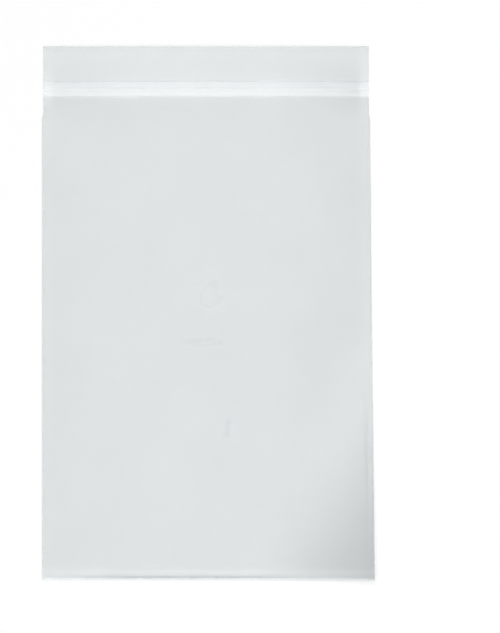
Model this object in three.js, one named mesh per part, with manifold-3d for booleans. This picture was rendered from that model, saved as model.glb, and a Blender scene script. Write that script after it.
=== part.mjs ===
// Press-to-close zipper bag, empty and lying flat on its rear wall.
// One polyethylene film is folded at the bottom, and both halves of the zip are extruded in one with it.
// The sides are welded, which also crushes the ends of the zip. Above the zip the two walls end as loose lips.
// Millimetres, +X across the bag, +Y towards the mouth, +Z up from the surface that the bag lies on.
import * as THREE from "three";
import Module from "manifold-3d";

// Driving dimensions: the bag, its width at the fold and how far it narrows towards the mouth
const BAG_WIDTH = 102.4;
const BAG_HEIGHT = 164.5;
const RIGHT_TAPER = 1.3;
const HEADER_FROM_LIP = 21.7;
const HEADER_INSET = 0.4;
const HEADER_STEP = 1.5;
const FILM = 0.1;
const WELD_WIDTH = 3;
const FOLD_GAP = 0.3;
const AIR_GAP = 0.7;
const LIP_GAP = 0.55;

// Driving dimensions: the zip, its place below the lip edge and its profile
const LOCK_FROM_LIP = 14.3;
const RIB_FROM_LIP = 12;
const LOCK_SPACE = 1;
const ZIP_BAND = 5.6;
const ZIP_SLOPE = 3.6;
const BACKING = 0.12;
const BACKING_SLOPE = 0.4;
const PLAY = 0.08;
const STEM_HALF = 0.22;
const HEAD_HALF = 0.46;
const HEAD_FOOT = 0.42;
const HEAD_SHOULDER = 0.6;
const HEAD_TIP = 0.86;
const JAW_HALF = 1.2;
const JAW_DEPTH = 0.78;
const HOOK_HEIGHT = 0.16;
const RIB_HALF = 0.9;
const RIB_HEIGHT = 0.3;

// Driving dimensions: how the bag lies
const WELD_SQUASH = 0.14;
const WELD_EASE = 16;
const CURL_LIFT = 2.8;
const CURL_ALONG_FOLD = 38;
const CURL_ALONG_SIDE = 62;

// Steps of the mesh
const STEPS_ACROSS = 14;
const STEPS_EASE = 4;
const STEPS_BODY = 16;
const STEPS_HEADER = 2;
const STEPS_SLOPE = 4;
const STEPS_LIP = 2;
const STEPS_FOLD = 8;
const MOUTH_OVERSHOOT = 1;

const HALF_WIDTH = BAG_WIDTH / 2;
const HALF_INSIDE = HALF_WIDTH - WELD_WIDTH;
const LIP_Y = BAG_HEIGHT / 2;
const FOLD_Y = -BAG_HEIGHT / 2;
const LOCK_Y = LIP_Y - LOCK_FROM_LIP;
const RIB_Y = LIP_Y - RIB_FROM_LIP;
const ZIP_Y = (LOCK_Y + RIB_Y) / 2;
const HEADER_Y = LIP_Y - HEADER_FROM_LIP;
const FOLD_RADIUS = FILM + FOLD_GAP / 2;
const FOLD_CENTRE_Y = FOLD_Y + FOLD_RADIUS;

const { clamp, lerp, smoothstep } = THREE.MathUtils;
const points = (pairs) => pairs.map(([y, z]) => new THREE.Vector2(y, z));

// Free space between the two walls at mid-width: a little air in the body, the zip's height, then the lips
function gapAt(y) {
  const up = clamp((y - FOLD_CENTRE_Y) / (ZIP_Y - FOLD_CENTRE_Y), 0, 1);
  const body = FOLD_GAP + 4 * AIR_GAP * up * (1 - up);
  const rest = y > ZIP_Y ? LIP_GAP : body;
  const offZip = smoothstep(Math.abs(y - ZIP_Y), ZIP_BAND / 2, ZIP_BAND / 2 + ZIP_SLOPE);
  return lerp(LOCK_SPACE, rest, offZip);
}

// Place of x on the bag at height y: the right weld leans in, and the zip's header is a little narrower
function acrossAt(x, y) {
  const lean = RIGHT_TAPER * clamp((y - FOLD_Y) / (HEADER_Y - FOLD_Y), 0, 1);
  const inset = HEADER_INSET * smoothstep(y, HEADER_Y - HEADER_STEP, HEADER_Y + HEADER_STEP);
  return x - lean * (x / BAG_WIDTH + 0.5) - inset * (x / HALF_WIDTH);
}

// Share of the gap that is left at x: all of it inside, little at the side welds
function openAt(x) {
  return lerp(WELD_SQUASH, 1, smoothstep(HALF_INSIDE - Math.abs(x), 0, WELD_EASE));
}

// The corner at the right end of the fold curls up evenly from a line across it
function liftAt(x, y) {
  const reach = Math.hypot(CURL_ALONG_FOLD, CURL_ALONG_SIDE);
  const corner = (CURL_ALONG_FOLD * CURL_ALONG_SIDE) / reach;
  const toSide = (HALF_WIDTH - x) * CURL_ALONG_SIDE;
  const toFold = (y - FOLD_Y) * CURL_ALONG_FOLD;
  const past = corner - (toSide + toFold) / reach;
  return CURL_LIFT * Math.max(0, past / corner) ** 2;
}

function steppedList(stretches) {
  const list = [stretches[0][0]];
  for (const [from, to, steps] of stretches) {
    for (let i = 1; i <= steps; i++) list.push(lerp(from, to, i / steps));
  }
  return list;
}

// Heights along the walls, from the fold up to the lip edge
const ZIP_FOOT = ZIP_Y - ZIP_BAND / 2;
const ZIP_HEAD = ZIP_Y + ZIP_BAND / 2;
const BELOW_ZIP = steppedList([
  [FOLD_CENTRE_Y, HEADER_Y - HEADER_STEP, STEPS_BODY],
  [HEADER_Y - HEADER_STEP, HEADER_Y + HEADER_STEP, STEPS_HEADER],
  [HEADER_Y + HEADER_STEP, ZIP_FOOT, STEPS_SLOPE],
]);
const ABOVE_ZIP = steppedList([
  [ZIP_HEAD, ZIP_HEAD + ZIP_SLOPE, STEPS_SLOPE],
  [ZIP_HEAD + ZIP_SLOPE, LIP_Y, STEPS_LIP],
]);

// Places across the inside of the bag, closer together where the walls come down to the welds
const INSIDE_STATIONS = steppedList([
  [-HALF_INSIDE, WELD_EASE - HALF_INSIDE, STEPS_EASE],
  [WELD_EASE - HALF_INSIDE, HALF_INSIDE - WELD_EASE, STEPS_ACROSS],
  [HALF_INSIDE - WELD_EASE, HALF_INSIDE, STEPS_EASE],
]);

// Half circle round the fold, from the rear wall to the front wall, without its two ends
function foldArc(radius) {
  const arc = new THREE.EllipseCurve(
    FOLD_CENTRE_Y, FOLD_RADIUS, radius, radius, -Math.PI / 2, (-3 * Math.PI) / 2, true,
  );
  return arc.getPoints(STEPS_FOLD).slice(1, -1);
}

// Locking rib on the rear wall: a stem with an arrow head, walked from the lip side to the fold side
function malePoints() {
  const side = [
    [STEM_HALF, 0],
    [STEM_HALF, HEAD_FOOT],
    [HEAD_HALF, HEAD_FOOT],
    [HEAD_HALF, HEAD_SHOULDER],
    [STEM_HALF, HEAD_TIP],
  ];
  const lipSide = side.map(([half, height]) => [LOCK_Y + half, FILM + height]);
  const foldSide = side.map(([half, height]) => [LOCK_Y - half, FILM + height]).reverse();
  return points([...lipSide, ...foldSide]);
}

// Low guide rib beside the lock on the rear wall, walked the same way
function guidePoints() {
  return points([
    [RIB_Y + RIB_HALF, FILM],
    [RIB_Y + RIB_HALF / 2, FILM + RIB_HEIGHT],
    [RIB_Y - RIB_HALF / 2, FILM + RIB_HEIGHT],
    [RIB_Y - RIB_HALF, FILM],
  ]);
}

// Two hooked jaws on the front wall that hold the arrow head, walked from the fold side to the lip side
function femalePoints() {
  const roof = FILM + LOCK_SPACE;
  const tip = roof - JAW_DEPTH;
  const throat = STEM_HALF + PLAY;
  const chamber = HEAD_HALF + PLAY;
  const side = [
    [JAW_HALF, roof],
    [JAW_HALF, tip],
    [throat, tip],
    [throat, tip + HOOK_HEIGHT],
    [chamber, tip + HOOK_HEIGHT],
    [chamber, roof],
  ];
  const foldSide = side.map(([half, z]) => [LOCK_Y - half, z]);
  const lipSide = side.map(([half, z]) => [LOCK_Y + half, z]).reverse();
  return points([...foldSide, ...lipSide]);
}

// The film is thicker behind the jaws, which shows outside as a low ridge along the zip
function backingPoints() {
  const face = 2 * FILM + LOCK_SPACE;
  return points([
    [LOCK_Y - JAW_HALF, face],
    [LOCK_Y - JAW_HALF + BACKING_SLOPE, face + BACKING],
    [LOCK_Y + JAW_HALF - BACKING_SLOPE, face + BACKING],
    [LOCK_Y + JAW_HALF, face],
  ]);
}

const rearWall = (stations, z) => points(stations.map((y) => [y, z])).reverse();
const frontWall = (stations, z) => points(stations.map((y) => [y, z + gapAt(y)]));

// Outside of the bag: rear wall down, round the fold, front wall up
function outerShape() {
  return new THREE.Shape([
    ...rearWall(ABOVE_ZIP, 0),
    ...rearWall(BELOW_ZIP, 0),
    ...foldArc(FOLD_RADIUS),
    ...frontWall(BELOW_ZIP, 2 * FILM),
    ...backingPoints(),
    ...frontWall(ABOVE_ZIP, 2 * FILM),
  ]);
}

// Inside of the bag, run out past the mouth, with the zip's ribs and jaws standing into it
function innerShape() {
  const beyond = LIP_Y + MOUTH_OVERSHOOT;
  return new THREE.Shape([
    new THREE.Vector2(beyond, FILM),
    ...rearWall(ABOVE_ZIP, FILM),
    ...guidePoints(),
    ...malePoints(),
    ...rearWall(BELOW_ZIP, FILM),
    ...foldArc(FOLD_GAP / 2),
    ...frontWall(BELOW_ZIP, FILM),
    ...femalePoints(),
    ...frontWall(ABOVE_ZIP, FILM),
    new THREE.Vector2(beyond, FILM + gapAt(LIP_Y)),
  ]);
}

// The section as it lies at x: the gap closed towards the welds, one corner curled up
function sectionAt(shape, x) {
  const outline = shape.getPoints();
  if (THREE.ShapeUtils.isClockWise(outline)) outline.reverse();
  return outline.map(({ x: y, y: z }) => {
    const intoGap = clamp(z - FILM, 0, gapAt(y));
    return new THREE.Vector2(y, z - intoGap * (1 - openAt(x)) + liftAt(x, y));
  });
}

// Closed solid through the sections at each place across the bag
function loftAcross(shape, stations) {
  const sections = stations.map((x) => sectionAt(shape, x));
  const around = sections[0].length;
  const place = [];
  sections.forEach((section, row) => {
    section.forEach(({ x: y, y: z }) => place.push(acrossAt(stations[row], y), y, z));
  });
  const faces = [];
  for (let row = 0; row + 1 < stations.length; row++) {
    for (let i = 0; i < around; i++) {
      const here = row * around + i;
      const next = row * around + ((i + 1) % around);
      faces.push(here, next, next + around, here, next + around, here + around);
    }
  }
  const lastRow = (stations.length - 1) * around;
  for (const [a, b, c] of THREE.ShapeUtils.triangulateShape(sections[0], [])) faces.push(a, c, b);
  for (const [a, b, c] of THREE.ShapeUtils.triangulateShape(sections.at(-1), [])) {
    faces.push(lastRow + a, lastRow + b, lastRow + c);
  }
  const solid = new THREE.BufferGeometry();
  solid.setAttribute("position", new THREE.Float32BufferAttribute(place, 3));
  solid.setIndex(faces);
  return solid;
}

const wasm = await Module();
wasm.setup();

function toManifold(geometry) {
  return new wasm.Manifold(new wasm.Mesh({
    numProp: 3,
    vertProperties: geometry.getAttribute("position").array,
    triVerts: new Uint32Array(geometry.index.array),
  }));
}

function toGeometry(manifold) {
  const mesh = manifold.getMesh();
  const geometry = new THREE.BufferGeometry();
  geometry.setAttribute("position", new THREE.BufferAttribute(mesh.vertProperties, 3));
  geometry.setIndex(new THREE.BufferAttribute(mesh.triVerts, 1));
  geometry.computeVertexNormals();
  return geometry;
}

// The outside runs over both welds; the inside stops at them, so each weld is one fused strip
function bagGeometry() {
  const outside = loftAcross(outerShape(), [-HALF_WIDTH, ...INSIDE_STATIONS, HALF_WIDTH]);
  const inside = loftAcross(innerShape(), INSIDE_STATIONS);
  return toGeometry(toManifold(outside).subtract(toManifold(inside)));
}

const filmMaterial = new THREE.MeshStandardMaterial({
  color: 0xdee2e3,
  roughness: 0.3,
  metalness: 0,
  transparent: true,
  opacity: 0.6,
});

const bag = new THREE.Mesh(bagGeometry(), filmMaterial);
bag.name = "zipper_bag";

const part = new THREE.Group();
part.name = "zipper_bag_part";
part.add(bag);

export default part;
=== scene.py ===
import math

import bpy
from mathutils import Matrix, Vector


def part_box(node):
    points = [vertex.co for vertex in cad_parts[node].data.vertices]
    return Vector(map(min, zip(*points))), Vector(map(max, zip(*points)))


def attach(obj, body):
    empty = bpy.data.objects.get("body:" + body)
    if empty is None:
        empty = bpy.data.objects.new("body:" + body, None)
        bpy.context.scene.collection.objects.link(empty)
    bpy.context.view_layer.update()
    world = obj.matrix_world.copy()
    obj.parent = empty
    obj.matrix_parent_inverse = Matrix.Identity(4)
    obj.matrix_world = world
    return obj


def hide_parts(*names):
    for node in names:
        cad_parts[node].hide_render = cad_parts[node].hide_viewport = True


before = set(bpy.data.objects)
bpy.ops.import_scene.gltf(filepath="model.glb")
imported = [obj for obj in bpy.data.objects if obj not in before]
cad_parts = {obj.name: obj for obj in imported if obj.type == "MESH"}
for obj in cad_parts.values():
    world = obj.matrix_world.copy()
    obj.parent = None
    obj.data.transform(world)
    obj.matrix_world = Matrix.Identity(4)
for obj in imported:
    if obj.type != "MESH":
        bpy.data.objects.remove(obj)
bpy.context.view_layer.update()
bagLow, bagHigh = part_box("zipper_bag")
mm = 0.001
print("frame loaded, bag", [round(side / mm, 1) for side in bagHigh - bagLow], "mm")


# Small helpers for node trees

def put(tree, kind, inputs=None, **settings):
    node = tree.nodes.new(kind)
    for name, value in settings.items():
        setattr(node, name, value)
    for key, value in (inputs or {}).items():
        if isinstance(value, bpy.types.NodeSocket):
            tree.links.new(value, node.inputs[key])
        else:
            node.inputs[key].default_value = value
    return node


def calc(tree, operation, first, second=0.0):
    return put(tree, "ShaderNodeMath", {0: first, 1: second}, operation=operation).outputs[0]


def mulAdd(tree, value, factor, base):
    inputs = {0: value, 1: factor, 2: base}
    return put(tree, "ShaderNodeMath", inputs, operation="MULTIPLY_ADD").outputs[0]


def noiseNode(tree, place, scale):
    inputs = {"Vector": place, "Scale": scale, "Detail": 1.0}
    return put(tree, "ShaderNodeTexNoise", inputs).outputs[0]


def ramp(tree, value, low, high, kind="SMOOTHSTEP"):
    inputs = {"Value": value, "From Min": low, "From Max": high}
    return put(tree, "ShaderNodeMapRange", inputs, interpolation_type=kind).outputs[0]


def newTree(name, values):
    kinds = {
        float: "NodeSocketFloat",
        int: "NodeSocketInt",
        bpy.types.Object: "NodeSocketObject",
        bpy.types.Material: "NodeSocketMaterial",
    }
    tree = bpy.data.node_groups.new(name, "GeometryNodeTree")
    tree.interface.new_socket("Geometry", in_out="OUTPUT", socket_type="NodeSocketGeometry")
    for label, value in values.items():
        tree.interface.new_socket(label, in_out="INPUT", socket_type=kinds[type(value)])
    return tree, tree.nodes.new("NodeGroupInput").outputs


def closeTree(tree, geometry, material):
    whole = put(tree, "GeometryNodeRealizeInstances", {"Geometry": geometry}).outputs[0]
    dressed = put(tree, "GeometryNodeSetMaterial", {"Geometry": whole, "Material": material})
    put(tree, "NodeGroupOutput", {"Geometry": dressed.outputs[0]})


def shadeNodes(tree, geometry):
    soft = put(tree, "GeometryNodeSetShadeSmooth", {"Geometry": geometry}, domain="FACE").outputs[0]
    angle = put(tree, "GeometryNodeInputMeshEdgeAngle").outputs["Unsigned Angle"]
    crisp = calc(tree, "GREATER_THAN", angle, math.radians(40))
    inputs = {"Geometry": soft, "Selection": crisp, "Shade Smooth": False}
    return put(tree, "GeometryNodeSetShadeSmooth", inputs, domain="EDGE").outputs[0]


def makePiece(name, tree, values):
    piece = bpy.data.objects.new(name, bpy.data.meshes.new(name))
    bpy.context.scene.collection.objects.link(piece)
    maker = piece.modifiers.new("maker", "NODES")
    maker.node_group = tree
    for socket in tree.interface.items_tree:
        if socket.in_out == "INPUT":
            maker[socket.identifier] = values[socket.name]
    ready = piece.evaluated_get(bpy.context.evaluated_depsgraph_get())
    plain = bpy.data.meshes.new_from_object(ready)
    piece.modifiers.remove(maker)
    piece.data = plain
    plain.name = name
    return piece


# Film material: clear polyethylene, hazier where it is thick; the same white mix also carries painted
# highlights along the fold and on the trim beads

filmLook = {
    "tint": (0.25, 0.312, 0.328, 1.0),
    # white the film is mixed towards: haze of thick film, and painted highlight on the fold and beads
    "hazeAndHighlightTint": (0.79, 0.855, 0.875, 1.0),
    "cover": 0.215,  # share of light that one face stops
    "thickCover": 0.85,  # the same where the film is thickest
    "hazeSpread": 0.012,
    "roughness": 0.3,
    "roughSpread": 0.03,
    "lineScale": (9.0, 420.0, 1.0),  # draw lines run along the zip
    "cloudScale": 42.0,
}


def filmMaterial():
    look = filmLook
    material = bpy.data.materials.new("clearFilm")
    material.use_nodes = True
    tree = material.node_tree
    tree.nodes.clear()
    place = put(tree, "ShaderNodeTexCoord").outputs["Object"]
    alongZip = put(tree, "ShaderNodeMapping", {"Vector": place, "Scale": look["lineScale"]})
    lines = noiseNode(tree, alongZip.outputs[0], 1.0)
    clouds = noiseNode(tree, place, look["cloudScale"])
    haze = calc(tree, "SUBTRACT", calc(tree, "ADD", lines, clouds), 1.0)
    thick = put(tree, "ShaderNodeAttribute", attribute_name="thick").outputs["Fac"]
    # white share: haze where the film is thick, painted highlight on the fold and trim beads, and a lighter
    # lip
    milky = put(tree, "ShaderNodeAttribute", attribute_name="milky").outputs["Fac"]
    cover = mulAdd(tree, haze, look["hazeSpread"], look["cover"])
    cover = mulAdd(tree, thick, look["thickCover"] - look["cover"], cover)
    tints = {"Factor": milky, 6: look["tint"], 7: look["hazeAndHighlightTint"]}
    tint = put(tree, "ShaderNodeMix", tints, data_type="RGBA").outputs[2]
    surface = put(tree, "ShaderNodeBsdfPrincipled", {
        "Base Color": tint,
        "Alpha": cover,
        "Roughness": mulAdd(tree, clouds, look["roughSpread"], look["roughness"] - look["roughSpread"] / 2),
        "IOR": 1.9,  # above the film's own 1.51, because Alpha thins the gloss too
        "Specular IOR Level": 1.0,
    })
    put(tree, "ShaderNodeOutputMaterial", {"Surface": surface.outputs[0]})
    return material


clearFilm = filmMaterial()
print("film material ready")


# The bag: its section is drawn once, swept across and laid down

bag = {
    "film": 0.1 * mm,  # one wall
    "foldGap": 0.24 * mm,
    "foldRoll": 1.3 * mm,  # from the fold to the crest of its roll
    "rollRise": 0.07 * mm,  # of the crest above the wall
    "rollTail": 6.0 * mm,
    "bodyGap": 0.34 * mm,
    "airGap": 0.08 * mm,  # more air between the walls halfway up the body
    "lipGap": 0.5 * mm,
    "lockFromLip": 14.3 * mm,
    "ribFromLip": 12.0 * mm,
    "headerFromLip": 21.7 * mm,
    "lockSpace": 1.0 * mm,  # between the walls at the zip
    "zipBand": 5.6 * mm,
    "zipSlope": 9.0 * mm,
    "foldStep": 0.2 * mm,
    "wallStep": 1.6 * mm,
    "zipStep": 0.3 * mm,
}
faintLines = [  # low ridges along the front wall, measured down from the lip
    {"fromLip": 1.6 * mm, "half": 0.6 * mm, "rise": 0.015 * mm},  # trimmed mouth
    {"fromLip": 6.9 * mm, "half": 0.7 * mm, "rise": 0.02 * mm},  # grip line
    {"fromLip": 21.7 * mm, "half": 0.9 * mm, "rise": 0.035 * mm},  # foot of the thicker zip strip
    {"fromLip": 14.3 * mm, "half": 1.3 * mm, "rise": 0.08 * mm},  # thicker film behind the jaws
]
zipLines = [  # where the pressed zip is thick and white, seen from the front
    {"fromLip": 12.4 * mm, "half": 1.8 * mm, "share": 0.27},
    {"fromLip": 14.3 * mm, "half": 1.6 * mm, "share": 0.42},
]
foldHighlightBand = {"fromFold": 2.6 * mm, "half": 1.4 * mm, "share": 0.25}  # painted highlight: a lighter band just above the fold, as the lit side of its roll
foldEdgeHighlight = {"full": 0.3 * mm, "none": 0.9 * mm}  # painted highlight: the fold itself is drawn white, in place of the light its steep roll would mirror
# the lip above the zip is drawn lighter than the body
lipLighter = 0.22
mouthPaintedShade = {"full": 2.2 * mm, "none": 1.2 * mm, "share": 0.5}  # painted shade: the lighter lip tint is taken back along the mouth, so the mouth edge reads darker
zipClear = 0.2  # the solid profiles inside have less haze than the film
lipY, foldY = bagHigh.y, bagLow.y
lockY = lipY - bag["lockFromLip"]
ribY = lipY - bag["ribFromLip"]
zipY = (lockY + ribY) / 2
foldRadius = bag["film"] + bag["foldGap"] / 2
foldCentreY = foldY + foldRadius


def smooth(value, low, high):
    share = min(max((value - low) / (high - low), 0.0), 1.0)
    return share * share * (3 - 2 * share)


def gapAt(y):
    up = min(max((y - foldCentreY) / (zipY - foldCentreY), 0.0), 1.0)
    apart = bag["bodyGap"] + 4 * bag["airGap"] * up * (1 - up)
    crestY = foldCentreY + bag["foldRoll"]
    apart += bag["rollRise"] * (1 - smooth(y, crestY, crestY + bag["rollTail"]))
    apart = bag["foldGap"] + (apart - bag["foldGap"]) * smooth(y, foldCentreY, crestY)
    rest = bag["lipGap"] if y > zipY else apart
    offZip = smooth(abs(y - zipY), bag["zipBand"] / 2, bag["zipBand"] / 2 + bag["zipSlope"])
    return bag["lockSpace"] + (rest - bag["lockSpace"]) * offZip


def lineShare(y, line, flat=0.0):
    return 1 - smooth(abs(lipY - line["fromLip"] - y), flat * line["half"], line["half"])


def ridgeAt(y):
    return sum(line["rise"] * lineShare(y, line) for line in faintLines)


def thickAt(y):
    return max(line["share"] * lineShare(y, line, 0.6) for line in zipLines)


# White share along the wall: haze of the thick zip, a lighter lip with painted shade along the mouth, and
# painted highlights on the fold
def hazeAndHighlightAt(y):
    # painted shade: less white along the mouth, so its edge reads darker
    mouthShade = mouthPaintedShade["share"] * smooth(y, lipY - mouthPaintedShade["full"], lipY - mouthPaintedShade["none"])
    lip = lipLighter * smooth(y, lockY, ribY) * (1 - mouthShade)
    # painted highlights: a lighter band above the fold and the white fold edge
    offFold = abs(foldY + foldHighlightBand["fromFold"] - y)
    foldHighlight = foldHighlightBand["share"] * (1 - smooth(offFold, 0.0, foldHighlightBand["half"]))
    edgeHighlight = 1 - smooth(y, foldY + foldEdgeHighlight["full"], foldY + foldEdgeHighlight["none"])
    return max(lip, foldHighlight, edgeHighlight, min(1.0, 1.3 * thickAt(y)))


def stretch(start, end, step):
    count = max(1, round(abs(end - start) / step))
    return [start + (end - start) * i / count for i in range(count + 1)]


def softCorners(path, cut, steps=3):
    rounded = [path[0]]
    for before, corner, after in zip(path, path[1:], path[2:]):
        ends = []
        for other in (before, after):
            length = math.dist(corner, other)
            share = min(cut / length, 0.45)
            ends.append([c + (o - c) * share for c, o in zip(corner, other)])
        for i in range(steps + 1):
            t = i / steps
            weights = ((1 - t) ** 2, 2 * t * (1 - t), t * t)
            rounded.append([
                sum(w * p[axis] for w, p in zip(weights, (ends[0], corner, ends[1])))
                for axis in (0, 1)
            ])
    return rounded + [path[-1]]


def mirrored(half, centre):
    return [(centre - y, z) for y, z in half] + [(centre + y, z) for y, z in reversed(half)]


lockRib = {  # half of the arrow rib, out from its middle and up from the rear wall
    "stem": 0.22 * mm, "head": 0.46 * mm, "foot": 0.42 * mm, "shoulder": 0.6 * mm, "tip": 0.86 * mm,
}
jaws = {"half": 1.2 * mm, "depth": 0.78 * mm, "hook": 0.16 * mm, "play": 0.08 * mm}
guideRib = {"half": 0.9 * mm, "height": 0.3 * mm}


def lockRibPath():
    floor = bag["film"]
    half = [
        (lockRib["stem"] + 0.1 * mm, floor),
        (lockRib["stem"], floor + 0.1 * mm),
        (lockRib["stem"], floor + lockRib["foot"]),
        (lockRib["head"], floor + lockRib["foot"]),
        (lockRib["head"], floor + lockRib["shoulder"]),
        (lockRib["stem"], floor + lockRib["tip"]),
    ]
    return softCorners(mirrored(half, lockY), 0.06 * mm)


def guideRibPath():
    floor = bag["film"]
    half = [
        (guideRib["half"], floor),
        (guideRib["half"] / 2, floor + guideRib["height"]),
    ]
    return softCorners(mirrored(half, ribY), 0.3 * mm)


def jawsPath():
    roof = bag["film"] + bag["lockSpace"]
    tip = roof - jaws["depth"]
    throat = lockRib["stem"] + jaws["play"]
    chamber = lockRib["head"] + jaws["play"]
    half = [
        (jaws["half"] + 0.15 * mm, roof),
        (jaws["half"], roof - 0.15 * mm),
        (jaws["half"], tip),
        (throat, tip),
        (throat, tip + jaws["hook"]),
        (chamber, tip + jaws["hook"]),
        (chamber, roof),
    ]
    return softCorners(mirrored(half, lockY), 0.06 * mm)


def foldPath(radius):
    turns = [math.pi * (i / 10) for i in range(1, 10)]
    return [(foldCentreY - radius * math.sin(t), foldRadius - radius * math.cos(t)) for t in turns]


def wallPath(start, end, step, lift, front):
    outside = front and lift > bag["film"]
    return [
        (y, lift + front * gapAt(y) + outside * ridgeAt(y))
        for y in stretch(start, end, step)
    ]


def sectionPoints():
    film = bag["film"]
    foot = lockY - 1.5 * jaws["half"]
    head = ribY + 1.2 * guideRib["half"]

    def body(lift, front, top=foot):
        stops = [foldCentreY, foldCentreY + 4 * mm, foot - 8 * mm, top]
        steps = [bag["foldStep"], bag["wallStep"], bag["zipStep"]]
        runs = [wallPath(*ends, lift, front) for ends in zip(stops, stops[1:], steps)]
        return [point for run in runs for point in run[:-1]] + runs[-1][-1:]

    def lip(lift, front):
        return wallPath(head, lipY, bag["zipStep"], lift, front)

    # Path, then whether it is on the front wall and whether it is a zip profile
    outer = [
        (lip(0.0, False)[::-1] + body(0.0, False)[::-1], 0, 0),
        (foldPath(foldRadius), 0, 0),
        (body(2 * film, True, lipY), 1, 0),
    ]
    inner = [
        (lip(film, True)[::-1], 1, 0),
        (jawsPath()[::-1], 1, 1),
        (body(film, True)[::-1], 1, 0),
        (foldPath(foldRadius - film)[::-1], 0, 0),
        (body(film, False), 0, 0),
        (lockRibPath(), 0, 1),
        (guideRibPath(), 0, 1),
        (lip(film, False), 0, 0),
    ]
    return [
        [(y, z, front, rib) for path, front, rib in face for y, z in path]
        for face in (outer, inner)
    ]


def wallFaces(points, outerCount):
    # Triangles across the film's own thickness, from the rear lip round to the front lip
    faces = []
    out, inn = 0, len(points) - 1
    while out < outerCount - 1 or inn > outerCount:
        stepOut, stepIn = min(out + 1, outerCount - 1), max(inn - 1, outerCount)
        outReach = math.dist(points[stepOut][:2], points[inn][:2])
        inReach = math.dist(points[out][:2], points[stepIn][:2])
        if stepIn == inn or (stepOut > out and outReach < inReach):
            faces.append((out, stepOut, inn))
            out = stepOut
        else:
            faces.append((out, stepIn, inn))
            inn = stepIn
    return faces


def sectionObject():
    outer, inner = sectionPoints()
    points = outer + inner
    corners = [(y, z, 0.0) for y, z, front, rib in points]
    mesh = bpy.data.meshes.new("bagSection")
    mesh.from_pydata(corners, [], wallFaces(points, len(outer)))
    zipReach = bag["zipBand"] / 2
    bodyFree, zipFree = 18 * mm, 14 * mm  # how far from the fold and the zip the wall is free

    def looseAt(y):
        offZip = smooth(abs(y - zipY), zipReach, zipReach + zipFree)
        return smooth(y, foldY, foldY + bodyFree) * offZip

    rows = {
        "intoGap": [min(max(z - bag["film"], 0.0), gapAt(y)) for y, z, front, rib in points],
        "thick": [-zipClear if rib else front * thickAt(y) for y, z, front, rib in points],
        "milky": [1.0 if rib else hazeAndHighlightAt(y) for y, z, front, rib in points],
        "loose": [front * looseAt(y) for y, z, front, rib in points],
        "lipShare": [front * smooth(y, zipY + zipReach, lipY) for y, z, front, rib in points],
    }
    for name, values in rows.items():
        mesh.attributes.new(name, "FLOAT", "POINT").data.foreach_set("value", values)
    section = bpy.data.objects.new("bagSection", mesh)
    bpy.context.scene.collection.objects.link(section)
    return section


laid = {
    "Half Width": bagHigh.x,
    "Fold Y": foldY,
    "Header Y": lipY - bag["headerFromLip"],
    "Right Taper": 1.3 * mm,
    "Header Inset": 0.4 * mm,
    "Header Step": 1.5 * mm,
    "Curl Lift": 5.3 * mm,
    "Curl Power": 2.0,
    "Curl Along Fold": 45.0 * mm,
    "Curl Along Side": 85.0 * mm,
}


def acrossNodes(tree, given, x, y):
    up = calc(tree, "SUBTRACT", y, given["Fold Y"])
    tall = calc(tree, "SUBTRACT", given["Header Y"], given["Fold Y"])
    upShare = ramp(tree, calc(tree, "DIVIDE", up, tall), 0.0, 1.0, "LINEAR")
    lean = calc(tree, "MULTIPLY", given["Right Taper"], upShare)
    low = calc(tree, "SUBTRACT", given["Header Y"], given["Header Step"])
    high = calc(tree, "ADD", given["Header Y"], given["Header Step"])
    inset = calc(tree, "MULTIPLY", given["Header Inset"], ramp(tree, y, low, high))
    side = calc(tree, "DIVIDE", x, given["Half Width"])
    fromLeft = mulAdd(tree, side, 0.5, 0.5)
    moved = mulAdd(tree, lean, fromLeft, calc(tree, "MULTIPLY", inset, side))
    return calc(tree, "SUBTRACT", x, moved)


def curlNodes(tree, given, x, y):
    fromSide = calc(tree, "SUBTRACT", given["Half Width"], x)
    fromFold = calc(tree, "SUBTRACT", y, given["Fold Y"])
    past = calc(tree, "SUBTRACT", 1.0, calc(tree, "DIVIDE", fromSide, given["Curl Along Fold"]))
    past = calc(tree, "SUBTRACT", past, calc(tree, "DIVIDE", fromFold, given["Curl Along Side"]))
    past = calc(tree, "POWER", calc(tree, "MAXIMUM", past, 0.0), given["Curl Power"])
    return calc(tree, "MULTIPLY", given["Curl Lift"], past)


def xyzNodes(tree):
    place = put(tree, "GeometryNodeInputPosition").outputs[0]
    return put(tree, "ShaderNodeSeparateXYZ", {0: place}).outputs


def attributeNode(tree, name):
    stored = put(tree, "GeometryNodeInputNamedAttribute", {"Name": name}, data_type="FLOAT")
    return stored.outputs[0]


def waveNodes(tree, x, y, sizeX, sizeY, seed):
    acrossX = calc(tree, "DIVIDE", x, sizeX)
    alongY = calc(tree, "DIVIDE", y, sizeY)
    place = put(tree, "ShaderNodeCombineXYZ", {0: acrossX, 1: alongY, 2: seed}).outputs[0]
    return mulAdd(tree, noiseNode(tree, place, 1.0), 2.0, -1.0)


filmSizes = {
    **laid,
    "Section": sectionObject(),
    "Steps Across": 97,
    "Edge Crowding": 0.93,  # how much closer the steps stand at the welds
    "Weld Width": 3.0 * mm,
    "Weld Ease": 30.0 * mm,  # from the weld to where the walls stand fully apart
    "Weld Squash": 0.06,
    "Weld Ridge From Edge": 1.6 * mm,
    "Weld Ridge Half": 0.6 * mm,
    "Weld Ridge Rise": 0.02 * mm,
    "Pucker Height": 0.02 * mm,
    "Pucker Length": 7.0 * mm,
    "Pucker Reach": 9.0 * mm,
    "Pucker Start": 2.0 * mm,  # from the weld to where the puckers are full
    "Wave Height": 0.04 * mm,
    "Wave Size": 46.0 * mm,
    "Lip Wave": 0.1 * mm,
    "Seed": 3.0,
    "Material": clearFilm,
}


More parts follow.
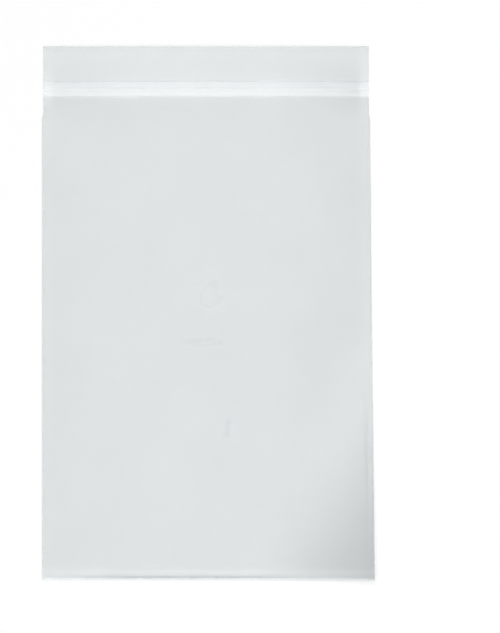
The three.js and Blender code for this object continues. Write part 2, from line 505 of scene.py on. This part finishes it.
def filmTree(values):
    tree, given = newTree("bagFilm", values)
    half = given["Half Width"]
    start = put(tree, "ShaderNodeCombineXYZ", {0: calc(tree, "MULTIPLY", half, -1.0)}).outputs[0]
    end = put(tree, "ShaderNodeCombineXYZ", {0: half}).outputs[0]
    line = put(tree, "GeometryNodeCurvePrimitiveLine", {"Start": start, "End": end}).outputs[0]
    steps = {"Curve": line, "Count": given["Steps Across"]}
    rail = put(tree, "GeometryNodeResampleCurve", steps).outputs[0]
    railX = xyzNodes(tree)[0]
    turn = calc(tree, "SINE", calc(tree, "MULTIPLY", calc(tree, "DIVIDE", railX, half), math.pi))
    crowd = calc(tree, "MULTIPLY", calc(tree, "MULTIPLY", turn, half), given["Edge Crowding"])
    crowd = calc(tree, "DIVIDE", crowd, math.pi)
    shift = put(tree, "ShaderNodeCombineXYZ", {0: crowd}).outputs[0]
    rail = put(tree, "GeometryNodeSetPosition", {"Geometry": rail, "Offset": shift}).outputs[0]
    drawn = put(tree, "GeometryNodeObjectInfo", {"Object": given["Section"]}).outputs["Geometry"]
    faceCount = put(tree, "GeometryNodeInputMeshEdgeNeighbors").outputs["Face Count"]
    rim = {"Mesh": drawn, "Selection": calc(tree, "LESS_THAN", faceCount, 1.5)}
    loop = put(tree, "GeometryNodeMeshToCurve", rim).outputs[0]
    halfTurn = {"Geometry": loop, "Rotation": (0.0, 0.0, math.pi)}
    loop = put(tree, "GeometryNodeTransform", halfTurn).outputs[0]
    swept = put(tree, "GeometryNodeCurveToMesh", {"Curve": rail, "Profile Curve": loop}).outputs[0]
    closed = put(tree, "GeometryNodeJoinGeometry")
    tree.links.new(swept, closed.inputs[0])
    drawnY, drawnZ, flat = xyzNodes(tree)
    for side in (-1.0, 1.0):
        edgeX = calc(tree, "MULTIPLY", half, side)
        place = put(tree, "ShaderNodeCombineXYZ", {0: edgeX, 1: drawnY, 2: drawnZ}).outputs[0]
        stood = {"Geometry": drawn, "Position": place}
        cap = put(tree, "GeometryNodeSetPosition", stood).outputs[0]
        if side > 0:
            cap = put(tree, "GeometryNodeFlipFaces", {"Mesh": cap}).outputs[0]
        tree.links.new(cap, closed.inputs[0])
    joined = {"Geometry": closed.outputs[0], "Distance": 0.001 * mm}
    swept = put(tree, "GeometryNodeMergeByDistance", joined).outputs[0]
    x, y, z = xyzNodes(tree)
    fromEdge = calc(tree, "SUBTRACT", half, calc(tree, "ABSOLUTE", x))
    fromWeld = calc(tree, "SUBTRACT", fromEdge, given["Weld Width"])
    eased = ramp(tree, calc(tree, "DIVIDE", fromWeld, given["Weld Ease"]), 0.0, 1.0, "LINEAR")
    shut = calc(tree, "POWER", calc(tree, "SUBTRACT", 1.0, eased), 2.0)
    inside = calc(tree, "SUBTRACT", 1.0, shut)
    intoGap = attributeNode(tree, "intoGap")
    squashed = calc(tree, "MULTIPLY", shut, calc(tree, "SUBTRACT", 1.0, given["Weld Squash"]))
    height = calc(tree, "SUBTRACT", z, calc(tree, "MULTIPLY", intoGap, squashed))

    loose = attributeNode(tree, "loose")
    wave = waveNodes(tree, x, y, given["Wave Size"], given["Wave Size"], given["Seed"])
    lipWave = calc(tree, "MULTIPLY", given["Lip Wave"], attributeNode(tree, "lipShare"))
    reach = mulAdd(tree, loose, given["Wave Height"], lipWave)
    height = mulAdd(tree, calc(tree, "MULTIPLY", wave, reach), inside, height)

    weldShare = ramp(tree, calc(tree, "DIVIDE", fromWeld, given["Pucker Reach"]), 0.0, 1.0)
    nearWeld = calc(tree, "SUBTRACT", 1.0, weldShare)
    nearWeld = calc(tree, "MULTIPLY", nearWeld, ramp(tree, fromWeld, 0.0, given["Pucker Start"]))
    pucker = waveNodes(tree, x, y, given["Wave Size"], given["Pucker Length"], given["Seed"])
    pucker = calc(tree, "MULTIPLY", calc(tree, "MULTIPLY", pucker, given["Pucker Height"]), loose)
    pucker = calc(tree, "MULTIPLY", pucker, nearWeld)
    offRidge = calc(tree, "SUBTRACT", fromEdge, given["Weld Ridge From Edge"])
    offRidge = calc(tree, "ABSOLUTE", offRidge)
    ridgeSide = ramp(tree, calc(tree, "DIVIDE", offRidge, given["Weld Ridge Half"]), 0.0, 1.0)
    ridge = calc(tree, "MULTIPLY", calc(tree, "SUBTRACT", 1.0, ridgeSide), given["Weld Ridge Rise"])
    ridge = calc(tree, "MULTIPLY", ridge, loose)
    height = calc(tree, "ADD", calc(tree, "ADD", height, pucker), ridge)
    height = calc(tree, "ADD", height, curlNodes(tree, given, x, y))
    across = acrossNodes(tree, given, x, y)
    place = put(tree, "ShaderNodeCombineXYZ", {0: across, 1: y, 2: height}).outputs[0]
    bent = put(tree, "GeometryNodeSetPosition", {"Geometry": swept, "Position": place}).outputs[0]
    closeTree(tree, shadeNodes(tree, bent), given["Material"])
    return tree


bagFilm = makePiece("bag_film", filmTree(filmSizes), filmSizes)
bpy.data.objects.remove(filmSizes["Section"])
print("film swept,", len(bagFilm.data.polygons), "faces")


# Trim beads: the hot knife leaves a thin uneven bead along both side edges

beadSizes = {
    **laid,
    "Lip Y": lipY,
    "Bead Radius": 0.07 * mm,
    "Bead Unevenness": 0.25,
    "Lump Length": 2.2 * mm,
    "Lump Width": 10.0 * mm,
    "Steps Along": 220,
    "Steps Around": 8,
    "Seed": 8.0,
    "Material": clearFilm,
}
# painted highlight: the trim beads are drawn white, in place of the reflection their round sides lose, so
# they don't read dark
beadHighlight = {"milky": 1.0, "thick": -0.1}


def beadTree(values):
    tree, given = newTree("trimBeads", values)
    radius = given["Bead Radius"]
    reach = calc(tree, "SUBTRACT", given["Half Width"], radius)
    lines = put(tree, "GeometryNodeJoinGeometry")
    for side in (-1.0, 1.0):
        x = calc(tree, "MULTIPLY", reach, side)
        start = put(tree, "ShaderNodeCombineXYZ", {0: x, 1: given["Fold Y"], 2: radius}).outputs[0]
        end = put(tree, "ShaderNodeCombineXYZ", {0: x, 1: given["Lip Y"], 2: radius}).outputs[0]
        line = put(tree, "GeometryNodeCurvePrimitiveLine", {"Start": start, "End": end})
        tree.links.new(line.outputs[0], lines.inputs[0])
    fine = {"Curve": lines.outputs[0], "Count": given["Steps Along"]}
    rails = put(tree, "GeometryNodeResampleCurve", fine).outputs[0]
    x, y, z = xyzNodes(tree)
    lumps = waveNodes(tree, x, y, given["Lump Width"], given["Lump Length"], given["Seed"])
    swell = mulAdd(tree, lumps, given["Bead Unevenness"], 1.0)
    height = calc(tree, "ADD", z, curlNodes(tree, given, x, y))
    across = acrossNodes(tree, given, x, y)
    place = put(tree, "ShaderNodeCombineXYZ", {0: across, 1: y, 2: height}).outputs[0]
    rails = put(tree, "GeometryNodeSetCurveRadius", {"Curve": rails, "Radius": swell}).outputs[0]
    rails = put(tree, "GeometryNodeSetPosition", {"Geometry": rails, "Position": place}).outputs[0]
    circle = {"Resolution": given["Steps Around"], "Radius": radius}
    ring = put(tree, "GeometryNodeCurvePrimitiveCircle", circle).outputs[0]
    sweep = {"Curve": rails, "Profile Curve": ring, "Fill Caps": True}
    beads = put(tree, "GeometryNodeCurveToMesh", sweep).outputs[0]
    for name, value in beadHighlight.items():
        inputs = {"Geometry": beads, "Name": name, "Value": value}
        store = put(tree, "GeometryNodeStoreNamedAttribute", inputs, data_type="FLOAT")
        beads = store.outputs[0]
    closeTree(tree, shadeNodes(tree, beads), given["Material"])
    return tree


trimBeads = makePiece("trim_beads", beadTree(beadSizes), beadSizes)
print("trim beads run")


# Room: white table, even sky, overlapping lamps overhead and a weaker one from the lower right

room = {
    "tableSize": 8.0,
    "tableDrop": 0.05 * mm,  # keeps the table just clear of the film
    "tableColor": (0.9, 0.9, 0.9, 1.0),
    "tableGlow": 0.355,
    "skyLight": 0.1,  # on the bag and table; seen and mirrored it is white
}


def seenNodes(tree):
    path = put(tree, "ShaderNodeLightPath").outputs
    seen = calc(tree, "MAXIMUM", path["Is Camera Ray"], path["Is Glossy Ray"])
    return calc(tree, "MAXIMUM", seen, path["Is Transmission Ray"])


def tableMaterial():
    material = bpy.data.materials.new("whiteTable")
    material.use_nodes = True
    tree = material.node_tree
    tree.nodes.clear()
    paint = put(tree, "ShaderNodeBsdfDiffuse", {"Color": room["tableColor"]})
    glowing = calc(tree, "MULTIPLY", seenNodes(tree), room["tableGlow"])
    glow = put(tree, "ShaderNodeEmission", {"Strength": glowing})
    both = put(tree, "ShaderNodeAddShader", {0: paint.outputs[0], 1: glow.outputs[0]})
    put(tree, "ShaderNodeOutputMaterial", {"Surface": both.outputs[0]})
    return material


def makeTable():
    half = room["tableSize"] / 2
    drop = bagLow.z - room["tableDrop"]
    corners = [(x * half, y * half, drop) for x, y in ((-1, -1), (1, -1), (1, 1), (-1, 1))]
    mesh = bpy.data.meshes.new("table")
    mesh.from_pydata(corners, [], [(0, 1, 2, 3)])
    mesh.materials.append(tableMaterial())
    table = bpy.data.objects.new("table", mesh)
    bpy.context.scene.collection.objects.link(table)


def makeSky():
    world = bpy.data.worlds.new("whiteRoom")
    world.use_nodes = True
    tree = world.node_tree
    tree.nodes.clear()
    white = (1.0, 1.0, 1.0, 1.0)
    level = mulAdd(tree, seenNodes(tree), 1.0 - room["skyLight"], room["skyLight"])
    sky = put(tree, "ShaderNodeBackground", {"Color": white, "Strength": level})
    put(tree, "ShaderNodeOutputWorld", {"Surface": sky.outputs[0]})
    bpy.context.scene.world = world


lamps = {  # the overhead ones overlap, so that their mirrored left edge is soft
    "overheadWide": {"place": (-0.287, 0.12, 3.0), "size": (1.574, 2.43), "radiance": 1.72},
    "overheadMiddle": {"place": (-0.115, 0.12, 3.01), "size": (1.23, 2.43), "radiance": 1.72},
    "overheadNarrow": {"place": (0.048, 0.12, 3.02), "size": (0.905, 2.43), "radiance": 1.72},
    "lowerRight": {"place": (1.9, -1.4, 2.0), "size": (1.6, 1.6), "radiance": 2.8},
}


def makeLamp(name, place, size, radiance):
    light = bpy.data.lights.new(name, "AREA")
    light.shape = "RECTANGLE"
    light.size, light.size_y = size
    light.energy = radiance * math.pi * size[0] * size[1]
    lamp = bpy.data.objects.new(name, light)
    lamp.location = place
    if not name.startswith("overhead"):
        lamp.rotation_euler = (-Vector(place)).to_track_quat("-Z", "Y").to_euler()
    lamp.visible_camera = False
    bpy.context.scene.collection.objects.link(lamp)


view = {
    "lens": 300.0,
    "sensor": 36.0,
    "pixelsHigh": 633,
    "pixelsPerMetre": 3246.0,
    "centre": (12.87 * mm, -1.03 * mm),
}


def makeCamera():
    data = bpy.data.cameras.new("camera")
    data.sensor_fit = "VERTICAL"
    data.sensor_height = view["sensor"]
    data.lens = view["lens"]
    distance = view["lens"] / view["sensor"] * view["pixelsHigh"] / view["pixelsPerMetre"]
    camera = bpy.data.objects.new("camera", data)
    camera.location = (*view["centre"], distance)
    bpy.context.scene.collection.objects.link(camera)
    bpy.context.scene.camera = camera


makeTable()
makeSky()
for name, lamp in lamps.items():
    makeLamp(name, **lamp)
makeCamera()
bpy.context.scene.view_settings.view_transform = "Standard"
bpy.context.scene.cycles.transparent_max_bounces = 40  # the zip is many layers of film
print("room, lamps and camera ready")

for piece in (bagFilm, trimBeads):
    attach(piece, "root")
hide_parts("zipper_bag")
